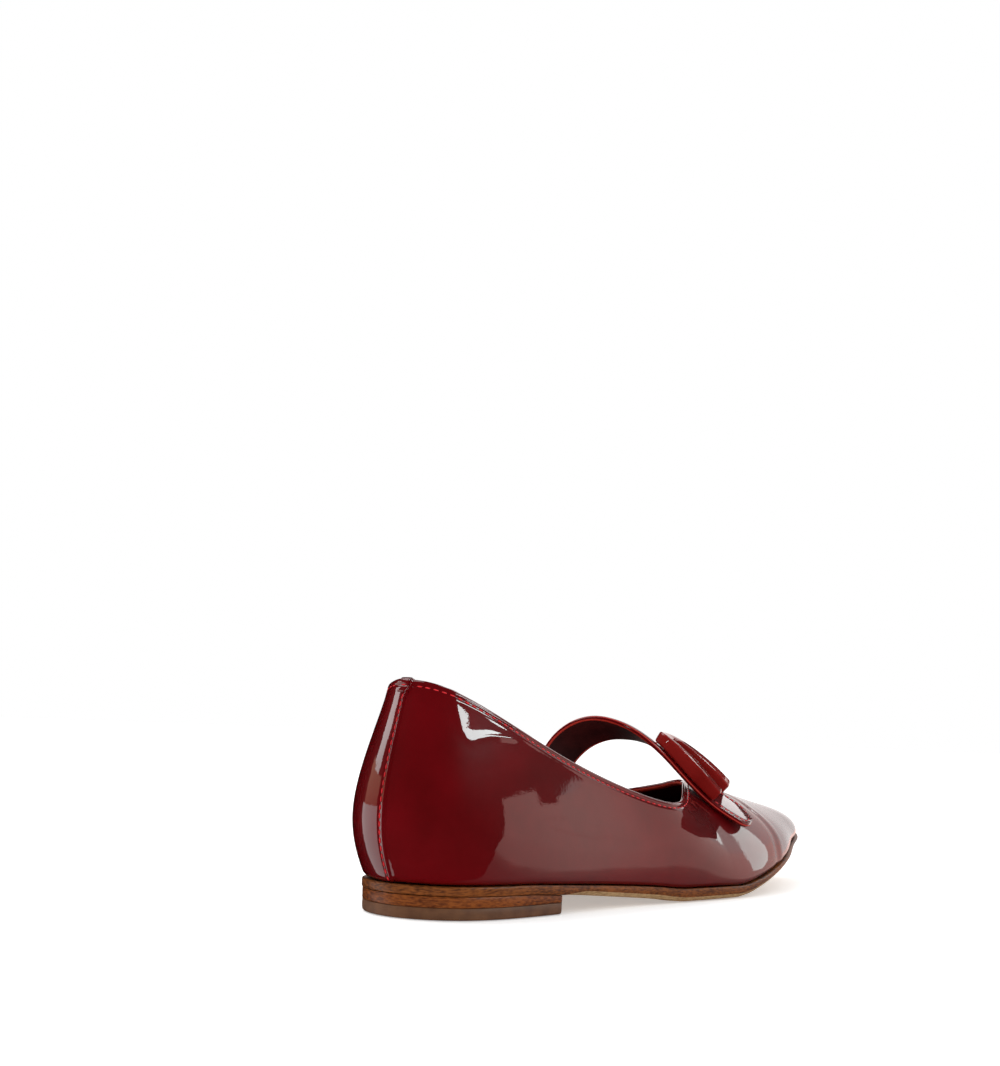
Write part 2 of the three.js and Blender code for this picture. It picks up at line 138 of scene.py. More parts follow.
# x, y: edge of the sole.  tx, ty, tz: topline.  lean, wall: how the side rises from
# the sole (degrees, mm).  fall, crown: how it reaches the topline (degrees, mm).
ROUND_COLUMNS = ("x", "y", "tx", "ty", "tz", "lean", "wall", "fall", "crown")
ROUND = {
    "back":       (0.0, 0.0, 0.0, 4.5, 70.3, 30, 22, 14, 26),
    "corner_out": (18.6, 8.6, 11.0, 8.8, 68.6, 22, 22, 14, 24),
    "seat_out":   (26.3, 31.0, 18.6, 25.0, 61.0, 10, 18, 12, 20),
    "shank_out":  (27.4, 62.0, 22.6, 60.0, 46.8, 12, 13, 10, 13),
    "waist_out":  (28.6, 95.0, 25.8, 93.0, 36.6, 15, 11, 8, 10),
    "ball_out":   (33.2, 128.0, 27.2, 116.0, 33.4, 15, 10, 35, 8),
    "joint_out":  (34.8, 156.0, 17.2, 133.6, 38.0, 10, 11, 66, 13),
    "side_out":   (29.4, 187.0, 8.4, 146.6, 39.3, 8, 11, 78, 24),
    "nose_out":   (17.2, 214.0, 4.0, 151.4, 39.4, 9, 11, 79, 34),
    "cheek_out":  (8.6, 232.0, 2.0, 152.8, 39.3, 10, 10, 79, 43),
    "tip":        (-0.5, 240.5, 0.0, 153.2, 39.0, 12, 10, 79, 46),
    "cheek_in":   (-9.6, 232.0, -2.0, 152.8, 38.5, 10, 10, 79, 44),
    "nose_in":    (-19.6, 216.0, -4.0, 152.0, 37.8, 9, 11, 79, 36),
    "side_in":    (-32.6, 193.0, -9.0, 149.4, 36.5, 8, 11, 78, 27),
    "joint_in":   (-39.0, 170.0, -16.5, 143.5, 34.8, 10, 11, 66, 17),
    "ball_in":    (-35.5, 140.0, -24.5, 126.0, 33.4, 14, 12, 38, 12),
    "waist_in":   (-27.5, 108.0, -26.4, 104.0, 35.0, 14, 13, 10, 12),
    "shank_in":   (-25.4, 72.0, -23.2, 70.0, 43.2, 12, 14, 8, 14),
    "seat_in":    (-26.3, 31.0, -18.6, 25.0, 61.0, 10, 18, 12, 20),
    "corner_in":  (-18.6, 8.6, -11.0, 8.8, 68.6, 24, 24, 14, 24),
}
# the sole from the side: y, height of the underside, thickness
SIDE = {
    "back": (0, 7.1, 2.8), "seat": (33, 6.8, 2.8), "breast": (56, 5.4, 3.1),
    "shank": (80, 3.4, 3.7), "waist": (100, 1.7, 4.1), "tread": (118, 0.0, 4.4),
    "joint": (145, 0.0, 4.1), "flex": (151, 0.6, 3.9), "bend": (160, 2.5, 3.5),
    "rise": (172, 5.4, 3.1), "toe_box": (185, 8.4, 2.8), "spring": (200, 11.0, 2.5),
    "nose": (218, 13.6, 2.3), "tip": (241, 15.8, 2.2),
}


def cubic(t, v, m, h, s, i, j):
    """Between the values i and j, from their second derivatives m and the step h."""
    x = s - t[i]
    y = h[i] - x
    bend = (m[i] * y**3 + m[j] * x**3) / (6 * h[i])
    return bend + (v[i] / h[i] - m[i] * h[i] / 6) * y + (v[j] / h[i] - m[j] * h[i] / 6) * x


def closed_curve(t, v):
    """Smooth closed curve through the values v at the stations t in [0, 1)."""
    t, v = np.asarray(t, float), np.asarray(v, float)
    here = np.arange(len(t))
    ahead, behind = np.roll(here, -1), np.roll(here, 1)
    h = np.append(t[1:], 1.0) - t
    a = np.zeros((len(t), len(t)))
    a[here, behind] += h[behind]
    a[here, here] += 2 * (h[behind] + h)
    a[here, ahead] += h
    m = np.linalg.solve(a, 6 * ((v[ahead] - v) / h - (v - v[behind]) / h[behind]))

    def at(s):
        s = np.mod(s, 1.0)
        i = np.searchsorted(t, s, side="right") - 1
        return cubic(t, v, m, h, s, i, ahead[i])

    return at


def open_curve(t, v):
    """Smooth curve with free ends through the values v at the stations t."""
    t, v = np.asarray(t, float), np.asarray(v, float)
    n, h, d = len(t), np.diff(t), np.diff(v) / np.diff(t)
    a, b = np.eye(n), np.zeros(n)
    for i in range(1, n - 1):
        a[i, i - 1 : i + 2] = h[i - 1], 2 * (h[i - 1] + h[i]), h[i]
        b[i] = 6 * (d[i] - d[i - 1])
    m = np.linalg.solve(a, b)

    def at(s):
        i = np.clip(np.searchsorted(t, s, side="right") - 1, 0, n - 2)
        return cubic(t, v, m, h, s, i, i + 1)

    return at


def steady_curve(t, v):
    """A curve that never overshoots its rows, so a flat stretch stays flat."""
    t, v = np.asarray(t, float), np.asarray(v, float)
    h, d = np.diff(t), np.diff(v) / np.diff(t)
    m = np.zeros(len(t))
    m[0], m[-1] = d[0], d[-1]
    for i in range(1, len(t) - 1):
        if d[i - 1] * d[i] > 0:
            a, c = 2 * h[i] + h[i - 1], h[i] + 2 * h[i - 1]
            m[i] = (a + c) / (a / d[i - 1] + c / d[i])

    def at(s):
        i = np.clip(np.searchsorted(t, s, side="right") - 1, 0, len(t) - 2)
        u = (s - t[i]) / h[i]
        w = 1 - u
        return (v[i] * w * w * (1 + 2 * u) + m[i] * h[i] * u * w * w
                + v[i + 1] * u * u * (3 - 2 * u) - m[i + 1] * h[i] * u * u * w)

    return at


sections = dict(zip(ROUND_COLUMNS, np.array(list(ROUND.values())).T))
steps = np.hypot(np.roll(sections["x"], -1) - sections["x"], np.roll(sections["y"], -1) - sections["y"])
ROUND_LENGTH = steps.sum()
stations = (np.cumsum(steps) - steps) / ROUND_LENGTH
around = {name: closed_curve(stations, row) for name, row in sections.items()}
side_y, side_under, side_thick = np.array(list(SIDE.values()), float).T
under = steady_curve(side_y, side_under)
thick = steady_curve(side_y, side_thick)
print("once round the sole's edge:", round(ROUND_LENGTH), "mm")


# %% [markdown]
# The surface of the last is then one formula. `q` goes once round from the back seam,
# outer side first, and `v` climbs from the sole (0) to the topline (1). Each climb is
# a Bezier curve of four points: two at the sole, two at the topline.

# %% The surface of the last
def outward(q):
    """The flat direction square to the sole's edge."""
    h = 1e-4
    dx = around["x"](q + h) - around["x"](q - h)
    dy = around["y"](q + h) - around["y"](q - h)
    n = np.hypot(dx, dy)
    return dy / n, -dx / n


def sole_edge(q, inset):
    nx, ny = outward(q)
    return around["x"](q) - inset * nx, around["y"](q) - inset * ny


def shell(q, v):
    """Outer face of the upper."""
    nx, ny = outward(q)
    fx, fy = sole_edge(q, WELT)
    foot = np.stack([fx, fy, under(fy) + thick(fy) + SEAM], -1)
    edge = np.stack([around["tx"](q), around["ty"](q), around["tz"](q)], -1)
    lean, fall = np.radians(around["lean"](q)), np.radians(around["fall"](q))
    wall, crown = around["wall"](q), around["crown"](q)
    # at the sides the topline is left square to the sole, over the toes straight ahead
    away = foot[..., :2] - edge[..., :2]
    far = np.hypot(away[..., 0], away[..., 1])
    ahead = np.clip((far - AHEAD_FROM) / AHEAD_OVER, 0, 1)
    dx = (1 - ahead) * nx + ahead * away[..., 0] / far
    dy = (1 - ahead) * ny + ahead * away[..., 1] / far
    n = np.hypot(dx, dy)
    rise = np.stack([nx * np.sin(lean), ny * np.sin(lean), np.cos(lean)], -1) * wall[..., None]
    drop = np.stack([dx / n * np.sin(fall), dy / n * np.sin(fall), -np.cos(fall)], -1) * crown[..., None]
    v = np.asarray(v, float)[..., None]
    w = 1 - v
    return w**3 * foot + 3 * v * w * w * (foot + rise) + 3 * v * v * w * (edge + drop) + v**3 * edge


def shell_normal(q, v):
    h = 1e-3
    low, high = np.maximum(0, v - h), np.minimum(1, v + h)
    return unit(np.cross(shell(q + h, v) - shell(q - h, v), shell(q, high) - shell(q, low)))


CLIMB = np.linspace(0, 1, 161)


def height_below(q, d):
    """The v that lies d mm below the topline, measured over the surface."""
    line = shell(q[:, None], CLIMB[None, ::-1])
    run = np.cumsum(np.linalg.norm(np.diff(line, axis=1), axis=-1), axis=1)
    run = np.concatenate([np.zeros((len(q), 1)), run], axis=1)
    d = np.broadcast_to(d, (len(q),) + np.shape(d)[1:]) if np.ndim(d) > 1 else np.tile(d, (len(q), 1))
    share = np.minimum(d, run[:, -1:])
    return np.array([np.interp(s, r, CLIMB[::-1]) for s, r in zip(share, run)]), run[:, -1]


back = shell(np.array([0.0]), np.array([1.0]))[0]
print("topline at the back:", np.round(back, 1), "mm")

# %% [markdown]
# ## From rows of points to a piece
# Most pieces here are skins: a grid of quads wrapped over a shape. Blender's
# `create_grid` makes the quads, each vertex is sent to its place, and vertices that
# meet are merged, which closes the seams.


# %% Wrap a grid over a shape
def wrapped(name, points, finishes, row_finish=None):
    """A skin over points (row, column, xyz in mm). row_finish picks the finish of each row of quads."""
    rows, cols = points.shape[:2]
    places = to_frame(points)
    bm = bmesh.new()
    bmesh.ops.create_grid(bm, x_segments=cols - 1, y_segments=rows - 1, size=1.0)
    spot = {}
    for vert in bm.verts:
        col = round((vert.co.x + 1) / 2 * (cols - 1))
        row = round((vert.co.y + 1) / 2 * (rows - 1))
        spot[vert] = (row, col)
    for face in bm.faces:
        face.smooth = True
        if row_finish is not None:
            face.material_index = row_finish[min(spot[v][0] for v in face.verts)]
    for vert, (row, col) in spot.items():
        vert.co = places[row, col]
    bmesh.ops.remove_doubles(bm, verts=bm.verts, dist=2e-6)
    bmesh.ops.dissolve_degenerate(bm, dist=1e-6, edges=bm.edges)
    bmesh.ops.recalc_face_normals(bm, faces=bm.faces)
    if bm.calc_volume(signed=True) < 0:
        bmesh.ops.reverse_faces(bm, faces=bm.faces)
    return finished(name, bm, finishes)


def object_of(name, bm, finishes):
    """Turn a bmesh into an object in the scene."""
    mesh = bpy.data.meshes.new(name)
    bm.to_mesh(mesh)
    bm.free()
    for finish in finishes:
        mesh.materials.append(finish)
    new = bpy.data.objects.new(name, mesh)
    bpy.context.scene.collection.objects.link(new)
    return new


def finished(name, bm, finishes):
    """Turn a bmesh into a piece that rides on the shoe."""
    open_edges = sum(1 for e in bm.edges if len(e.link_faces) != 2)
    piece = object_of(name, bm, finishes)
    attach(piece, "root")
    print(f"{name}: {len(piece.data.polygons)} faces, {open_edges} open edges")
    return piece


# %% [markdown]
# ## Finishes
# Every finish is a Principled shader, made uneven by noise on the piece's own
# coordinates, so nothing has to be unwrapped. These helpers make its parts.


# %% Helpers for node materials
def ramp(new_node, stops):
    """A colour ramp from (position, colour) pairs."""
    new = new_node("ShaderNodeValToRGB")
    elements = new.color_ramp.elements
    while len(elements) < len(stops):
        elements.new(0.5)
    for element, (position, colour) in zip(elements, stops):
        element.position = position
        element.color = (*colour, 1.0)
    return new


class Finish:
    """A material with a Principled shader; values are the shader's constant inputs."""

    def __init__(self, name, **values):
        self.material = bpy.data.materials.new(name)
        self.material.use_nodes = True
        tree = self.material.node_tree
        self.new, self.link = tree.nodes.new, tree.links.new
        self.shader = tree.nodes["Principled BSDF"]
        for socket, value in values.items():
            self.shader.inputs[socket.replace("_", " ")].default_value = value
        self.place = self.new("ShaderNodeTexCoord").outputs["Object"]

    def noise(self, scale, detail, stretch=(1, 1, 1)):
        """Blotches on the piece's own coordinates; stretch squeezes them one way."""
        mapping = self.new("ShaderNodeMapping")
        mapping.inputs["Scale"].default_value = stretch
        self.link(self.place, mapping.inputs["Vector"])
        noise = self.new("ShaderNodeTexNoise")
        noise.inputs["Scale"].default_value = scale
        noise.inputs["Detail"].default_value = detail
        self.link(mapping.outputs["Vector"], noise.inputs["Vector"])
        return noise.outputs["Fac"]

    def colour(self, source, stops):
        """A colour ramp over source, as the base colour."""
        colour = ramp(self.new, stops)
        self.link(source, colour.inputs["Fac"])
        self.link(colour.outputs["Color"], self.shader.inputs["Base Color"])

    def bump(self, source, strength, depth, onto=None):
        """Bump of a given depth in metres, stacked on an earlier bump if there is one."""
        new = self.new("ShaderNodeBump")
        new.inputs["Strength"].default_value = strength
        new.inputs["Distance"].default_value = depth
        self.link(source, new.inputs["Height"])
        if onto is not None:
            self.link(onto, new.inputs["Normal"])
        self.link(new.outputs["Normal"], self.shader.inputs["Normal"])
        return new.outputs["Normal"]


# %% [markdown]
# Patent leather is leather under a thick clear lacquer. The colour lies underneath,
# slightly uneven, and the lacquer on top is almost a mirror that follows the pulls
# and ripples of the skin below. A Principled shader has both: a base colour, and a
# coat with its own roughness. The ripples are bump, in two sizes. The covered buckle
# has a lighter copy of the same leather, a painted highlight for the light on it.

# %% Patent leather
CHERRY_DARK = (0.076, 0.0002, 0.0010)
CHERRY = (0.110, 0.0004, 0.0020)
# the buckle's colours are the cherry made lighter: a painted highlight for the light that falls on the
# buckle
BUCKLE_LIT_DARK = (0.150, 0.0040, 0.0030)
BUCKLE_LIT_LIGHT = (0.230, 0.0100, 0.0080)


def patent_leather(name, dark, light):
    skin = Finish(name, Roughness=0.42, Specular_IOR_Level=0.04, IOR=1.45,
                  Coat_Weight=1.0, Coat_Roughness=0.025, Coat_IOR=1.5)
    skin.colour(skin.noise(55, 4), [(0.3, dark), (0.7, light)])
    pulls = skin.bump(skin.noise(120, 1, stretch=(1, 0.45, 1)), 0.3, 0.0004)
    peel = skin.bump(skin.noise(900, 2), 0.35, 0.00003, onto=pulls)
    skin.link(peel, skin.shader.inputs["Coat Normal"])
    return skin.material


PATENT = patent_leather("patent_red", CHERRY_DARK, CHERRY)
BUCKLE_LIT_PATENT = patent_leather("patent_buckle_lit", BUCKLE_LIT_DARK, BUCKLE_LIT_LIGHT)
print("made", PATENT.name, "and", BUCKLE_LIT_PATENT.name)

# %% [markdown]
# The lining is a thin matt leather, and the sock inside the shoe the same in a lighter
# red. Cut edges of the strap are painted with a warm red edge paint, and the leather
# turned in over the topline shows nearly the same colour.


# %% Lining, sock, edge paint and thread
def matt_leather(name, dark, light, grain=1400):
    skin = Finish(name, Roughness=0.6, Specular_IOR_Level=0.3)
    skin.colour(skin.noise(160, 5), [(0.3, dark), (0.75, light)])
    pores = skin.new("ShaderNodeTexVoronoi")
    pores.inputs["Scale"].default_value = grain
    skin.link(skin.place, pores.inputs["Vector"])
    skin.bump(pores.outputs["Distance"], 0.5, 0.00008)
    return skin.material


LINING = matt_leather("lining_leather", (0.030, 0.0012, 0.0012), (0.060, 0.003, 0.0025))
SOCK = matt_leather("sock_leather", (0.10, 0.008, 0.008), (0.17, 0.016, 0.012))
EDGE_PAINT = matt_leather("edge_paint", (0.34, 0.012, 0.005), (0.50, 0.024, 0.008), grain=2600)
TURNED_EDGE = matt_leather("turned_edge", (0.34, 0.018, 0.008), (0.50, 0.036, 0.013), grain=2600)
THREAD = matt_leather("thread_red", (0.42, 0.004, 0.008), (0.75, 0.012, 0.020), grain=5000)
print("made", ", ".join(m.name for m in (LINING, SOCK, EDGE_PAINT, TURNED_EDGE, THREAD)))

# %% [markdown]
# The sole is bark-tanned leather. Its edge is trimmed, stained and waxed, and the
# fibres run along the edge. The heel lift is made of the same leather. All of them
# look like wood with different stains, so one helper makes them.


# %% Sole leather, stacked leather and rubber
def stacked_leather(name, dark, light, rough=0.38):
    """Leather seen on its cut edge, with its fibres level."""
    skin = Finish(name, Roughness=rough, Specular_IOR_Level=0.12, Coat_Weight=0.1, Coat_Roughness=0.3)
    fibres = skin.noise(560, 8, stretch=(1, 1, 4))
    stain = skin.noise(60, 3)
    mix = skin.new("ShaderNodeMath")
    mix.operation = "MULTIPLY_ADD"
    skin.link(stain, mix.inputs[0])
    mix.inputs[1].default_value = 0.4
    skin.link(fibres, mix.inputs[2])
    skin.colour(mix.outputs["Value"], [(0.55, dark), (0.85, light)])
    skin.bump(fibres, 0.5, 0.00012)
    return skin.material


HEEL_STACK = stacked_leather("stacked_leather", (0.070, 0.014, 0.002), (0.22, 0.056, 0.008))
EDGE_STAIN = stacked_leather("edge_stain", (0.052, 0.012, 0.002), (0.20, 0.056, 0.009))
SOLE_TAN = stacked_leather("sole_tan", (0.22, 0.115, 0.045), (0.38, 0.24, 0.115), rough=0.6)
RUBBER = matt_leather("top_piece_rubber", (0.085, 0.030, 0.010), (0.165, 0.065, 0.024), grain=900)
print("made", ", ".join(m.name for m in (HEEL_STACK, EDGE_STAIN, SOLE_TAN, RUBBER)))

# %% [markdown]
# ## The sole, the heel and the insole
# All of these are flat layers cut to one outline. A layer is a ring round its edge,
# closed above and below towards a line down its middle. The rows of the grid start on
# that middle line under the layer, run out to the edge, up it, and back along the top.

# %% A layer cut to an outline
SPINE_STEP = 2.4


def layer(name, outline, levels, low, high, finishes, row_finish, middle):
    """outline(inset) gives (column, xy). levels are (inset, height(y)) rows up the edge.
    low and high give the heights of its two faces; middle is the first and last y of its middle line."""
    rim = outline(0.0)
    spine_y = np.clip(np.round(rim[:, 1] / SPINE_STEP) * SPINE_STEP, *middle)
    left = rim[rim[:, 0] < 0]
    right = rim[rim[:, 0] >= 0]
    left, right = left[np.argsort(left[:, 1])], right[np.argsort(right[:, 1])]
    spine_x = (np.interp(spine_y, left[:, 1], left[:, 0]) + np.interp(spine_y, right[:, 1], right[:, 0])) / 2
    spine = np.stack([spine_x, spine_y], -1)

    def face(inset, height, shares):
        ring = outline(inset)
        for share in shares:
            xy = ring + (spine - ring) * share
            yield np.column_stack([xy, height(xy[:, 1])])

    shares = (1.0, 0.82, 0.62, 0.42, 0.24, 0.1)
    rows = list(face(levels[0][0], low, shares))
    for inset, height in levels:
        ring = outline(inset)
        rows.append(np.column_stack([ring, height(ring[:, 1])]))
    rows += list(face(levels[-1][0], high, shares[::-1]))
    picks = [row_finish(k - len(shares)) for k in range(len(rows) - 1)]
    return wrapped(name, np.array(rows), finishes, picks)


SOLE_Q = np.linspace(0, 1, 321)
seat = lambda y: under(y) + thick(y)


def sole_outline(inset):
    return np.stack(sole_edge(SOLE_Q, inset), -1)


def bevel(y):
    return BEVEL * np.clip((y - HEEL_BREAST + 2) / 12, 0, 1)


# %% [markdown]
# The outsole is one strip of leather from heel to toe. Forward of the heel its lower
# rim is rounded off, and there the stained edge gives way to the tan underside.

# %% Outsole
outsole_levels = [
    (4.5, under),
    (2.2, lambda y: under(y) + 0.06 * bevel(y)),
    (1.2, lambda y: under(y) + 0.28 * bevel(y) + 0.05),
    (0.55, lambda y: under(y) + 0.62 * bevel(y) + 0.07),
    (0.2, lambda y: under(y) + bevel(y) + 0.1),
    (0.02, lambda y: under(y) + np.minimum(bevel(y) + 0.3, thick(y) - 0.7)),
    (0.0, lambda y: seat(y) - 0.5),
    (0.12, lambda y: seat(y) - 0.14),
    (0.45, seat),
]
outsole = layer("outsole_leather", sole_outline, outsole_levels, under, seat,
                [EDGE_STAIN, SOLE_TAN], lambda k: 1 if k < 4 else 0, (9.6, 230.4))
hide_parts("outsole")

# %% [markdown]
# The heel ends in a straight breast, so its outline is the sole's outline behind that
# line. The lift is stacked leather and follows the sole's arch above; the top piece
# is a rubber slab, level below, with a rounded lower rim.


# %% Heel lift and top piece
def heel_outline(inset):
    q = np.linspace(-0.12, 0.12, 241)
    x, y = sole_edge(q, inset)
    breast = HEEL_BREAST - max(0.0, inset - 0.3)
    keep = y < breast
    x, y = x[keep], y[keep]
    across = np.linspace(x[-1], x[0], 26)[1:-1]
    corner = 0.9
    ease = corner * (bump_at(across, x[-1], 1.6) + bump_at(across, x[0], 1.6))
    line = np.column_stack([np.append(x, across), np.append(y, breast - 0.5 * ease)])
    # the same number of points for every inset, evenly spaced
    ring = np.vstack([line, line[:1]])
    run = run_along(ring)
    s = np.linspace(0, run[-1], 181)
    return np.column_stack([np.interp(s, run, ring[:, 0]), np.interp(s, run, ring[:, 1])])


level = lambda z: (lambda y: np.full_like(y, z))
lift_top = lambda y: under(y) - LIFT_GAP
lift_low = level(TOP_PIECE + GLUE_GAP)
heel_lift = layer("heel_stack", heel_outline, [
    (0.45, lift_low),
    (0.32, lambda y: lift_low(y) + 0.18),
    (0.30, lambda y: (lift_low(y) + lift_top(y)) / 2),
    (0.28, lambda y: lift_top(y) - 0.08),
    (0.36, lift_top),
], lift_low, lift_top, [HEEL_STACK], lambda k: 0, (9.6, 43.2))
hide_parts("heel_lift")

top_piece = layer("heel_top_piece", heel_outline, [
    (1.3, level(0.0)), (0.8, level(0.12)), (0.5, level(0.45)), (0.4, level(0.9)),
    (0.36, level(2.0)), (0.38, level(TOP_PIECE - 0.15)), (0.55, level(TOP_PIECE)),
], level(0.0), level(TOP_PIECE), [RUBBER], lambda k: 0, (9.6, 43.2))
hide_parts("top_piece")

# %% [markdown]
# The sock is a soft leather sheet over the insole board. It has a rounded rim and a
# shallow hollow where the heel and the ball of the foot sit.


# %% Insole with its sock
def sock_top(y):
    hollow = 0.35 * bump_at(y, 30, 16) + 0.3 * bump_at(y, 140, 26)
    return seat(y) + SEAM + INSOLE - hollow


SOCK_RIM = WELT + WALL + 0.75
insole = layer("insole_sock", sole_outline, [
    (SOCK_RIM, lambda y: seat(y) + SEAM),
    (SOCK_RIM, lambda y: seat(y) + SEAM + INSOLE - 1.1),
    (SOCK_RIM + 0.2, lambda y: seat(y) + SEAM + INSOLE - 0.45),
    (SOCK_RIM + 0.7, lambda y: seat(y) + SEAM + INSOLE - 0.1),
    (SOCK_RIM + 1.5, lambda y: seat(y) + SEAM + INSOLE),
], lambda y: seat(y) + SEAM, sock_top, [SOCK], lambda k: 0, (14.4, 218.4))
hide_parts("insole")

# %% [markdown]
# ## The upper
# The upper is leather outside and lining inside, folded together at the topline. Its
# skin therefore starts at the sole, climbs the outside, rolls over the topline, and
# goes back down the inside. Rows are close together near the topline and columns near
# the back seam, where small relief has to show.

# %% Where the upper's rows and columns lie
def seam_columns():
    """Distances from the back seam round to the toe, fine at the seam."""
    run, step, places = 0.0, 0.16, [0.0]
    while run < ROUND_LENGTH / 2:
        if run > 6.5:
            step = min(1.3, step * 1.12)
        run += step
        places.append(run)
    half = np.array(places) * (ROUND_LENGTH / 2) / run
    return np.concatenate([-half[::-1], half[1:]])


along = seam_columns()                    # mm from the back seam, outer side positive
q_cols = along / ROUND_LENGTH
EDGE_ROLL = WALL / 2
near_edge = np.concatenate([np.arange(EDGE_ROLL, 4.6, 0.26), np.arange(4.9, 14.5, 0.45)])
lower = np.linspace(0, 1, 58)[1:] ** 0.92
_, climb = height_below(q_cols, near_edge)
depth = np.concatenate([
    np.tile(near_edge, (len(q_cols), 1)),
    near_edge[-1] + lower[None, :] * (climb[:, None] - near_edge[-1]),
], axis=1)
v_rows, _ = height_below(q_cols, depth)
print("upper:", len(q_cols), "columns and", depth.shape[1], "rows outside")

# %% [markdown]
# The relief of the outside is a sum of small features, each a height in millimetres:
# the folded lap of the back seam, the dip under every row of stitches, the crease
# where the vamp bends above the toes, a pull in the outer quarter, and slow ripples
# from lasting.


# %% The relief of the outside
LAP_STEP = 0.42          # the inner quarter stands this far over the outer one
LAP_OVER = 1.3           # and reaches this far past the middle of the back
PULL_HIGH = 0.24         # the pull's height
# the crease, (x, y) seen from above, and the pull, (y, z) seen from the side
CREASE = [(-36, 182), (-28, 176), (-15, 170), (0, 167), (12, 167.5), (21.6, 170), (26, 174.5),
          (29, 176.4), (33, 175)]
PULL = [(11.0, 66.0), (11.3, 60.0), (11.8, 55.5), (13.4, 52.4), (16.0, 53.4), (21.0, 54.2), (32.0, 53.6)]


def lap_edge(d):
    """Where the folded edge of the back lap lies, d mm below the topline."""
    return LAP_OVER + 3.0 * smooth_step((6.0 - d) / 4.5)


def from_line(y, z, line):
    """Distance in the side view from a line of (y, z) places."""
    nearest = np.full_like(y, 1e3)
    for (y0, z0), (y1, z1) in zip(line[:-1], line[1:]):
        t = np.clip(((y - y0) * (y1 - y0) + (z - z0) * (z1 - z0)) / ((y1 - y0) ** 2 + (z1 - z0) ** 2), 0, 1)
        nearest = np.minimum(nearest, np.hypot(y - y0 - t * (y1 - y0), z - z0 - t * (z1 - z0)))
    return nearest


def relief(points, along, d, foot):
    x, y, z = points[..., 0], points[..., 1], points[..., 2]
    total = np.zeros_like(x)
    # the back lap: the inner quarter lies over the outer one
    edge = lap_edge(d)
    near_back = smooth_step((14 + along) / 9) * (along < 60)
    total += LAP_STEP * smooth_step((edge - along) / 0.4 + 0.5) * near_back
    total += 0.14 * bump_at(along, edge - 0.45, 0.45) - 0.12 * bump_at(along, edge - 1.35, 0.4)
    pucker = 0.5 + 0.5 * np.cos(2 * math.pi * d / 2.4)
    total += 0.07 * bump_at(along, edge + 1.1, 0.8) * pucker
    # the folded topline, with its row of stitches
    total += 0.10 * bump_at(d, 1.1, 0.6) - 0.16 * bump_at(d, STITCH_IN, 0.38) + 0.05 * bump_at(d, 3.0, 0.7)
    # the crease above the toes: a dip with a ridge in front of it
    off = y - np.interp(x, *np.transpose(CREASE))
    over = smooth_step((z - 4) / 8) * (0.35 + 0.65 * smooth_step((x + 20) / 45))
    total += over * (-0.24 * bump_at(off, 0.0, 2.2) + 0.20 * bump_at(off, 3.8, 2.6))
    # the topline gapes a little at the waist, on the outer side
    total += 0.3 * smooth_step((13 - d) / 13) * bump_at(y, 108, 20) * (x > 0)
    # a pull in the outer quarter, from the back of the topline down and forward
    pull = PULL_HIGH * bump_at(from_line(y, z, PULL), 0.0, 1.2)
    total += pull * (along > 0) * smooth_step((60 - along) / 14)
    # slow ripples of lasting
    total += 0.05 * np.sin(y / 7.3 + z / 11.0) + 0.04 * np.sin(z / 3.9 - y / 17.0 + 1.3)
    # the feather edge, tucked in where the upper meets the sole
    total -= 0.55 * bump_at(foot, 0.0, 0.9)
    return total


grid_q = q_cols[None, :]
outer_v = v_rows.T
outer = shell(grid_q, outer_v)
normal = shell_normal(grid_q, outer_v)
below = depth.T
heights = relief(outer, along[None, :], below, climb[None, :] - below)
outside = outer + normal * heights[..., None]
print("relief:", round(float(heights.min()), 2), "to", round(float(heights.max()), 2), "mm")

# %% [markdown]
# At the topline the leather is turned over its edge and meets the lining: a half circle
# joins the outside to the inside, which needs only every second row.

# %% The rolled topline, the inside and the whole skin
top_point, top_normal = outer[0], normal[0]
upward = unit(outer[0] - outer[1])
roll = []
for angle in np.radians(np.linspace(18, 162, 9)):
    swing = np.cos(angle) * top_normal + np.sin(angle) * upward
    centre = top_point - EDGE_ROLL * top_normal
    wide = EDGE_ROLL + heights[0][:, None] * (1 + np.cos(angle)) / 2
    roll.append(centre + swing * wide)
inner_rows = np.r_[0:depth.shape[1]:2, depth.shape[1] - 1]
inner = outer[inner_rows] - normal[inner_rows] * WALL
inner[-1] = outer[-1] - unit(normal[-1] * [1, 1, 0]) * WALL
skin = np.concatenate([outside[::-1], np.array(roll), inner, outside[-1:]])
turned_from = len(outside) + len(roll) // 2
lining_from = len(outside) + len(roll) + 3
upper = wrapped("upper_patent", skin, [PATENT, TURNED_EDGE, LINING],
                [0 if r < turned_from else 1 if r < lining_from else 2 for r in range(len(skin) - 1)])
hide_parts("upper")

# %% [markdown]
# ## The strap
# The strap is cut leather, folded over a lining and painted along its edges. It rises
# from inside the inner quarter, crosses the instep, and ends in a round tip on the
# outer side of the vamp. Its middle line is a smooth curve through named places; each
# place also has the tilt and the turn of the strap's width.

# %% The strap's middle line
# x, y, z, the tilt of its width (degrees), and its turn off the shoe's own y (x per y)
STRAP = {
    "root":      (-23.2, 107.5, 22.0, 6, 0.02),
    "collar":    (-22.4, 109.0, 36.0, 10, 0.05),
    "rise":      (-22.2, 111.5, 45.0, 22, 0.16),
    "bend":      (-17.8, 114.0, 52.0, 29, 0.28),
    "crown":     (-9.0, 116.5, 56.6, 34, 0.30),
    "fall":      (1.4, 121.5, 55.8, 36, 0.30),
    "frame_in":  (9.6, 128.1, 50.8, 36, 0.30),
    "frame_mid": (16.8, 135.6, 42.2, 33, 0.30),
    "frame_out": (23.2, 144.6, 33.9, 28, 0.31),
    "tip":       (30.7, 157.2, 25.9, 27, 0.29),
}
strap_rows = np.array(list(STRAP.values()), float)
strap_run = run_along(strap_rows[:, :3])
STRAP_LONG = strap_run[-1]
strap_curves = [open_curve(strap_run, column) for column in strap_rows.T]


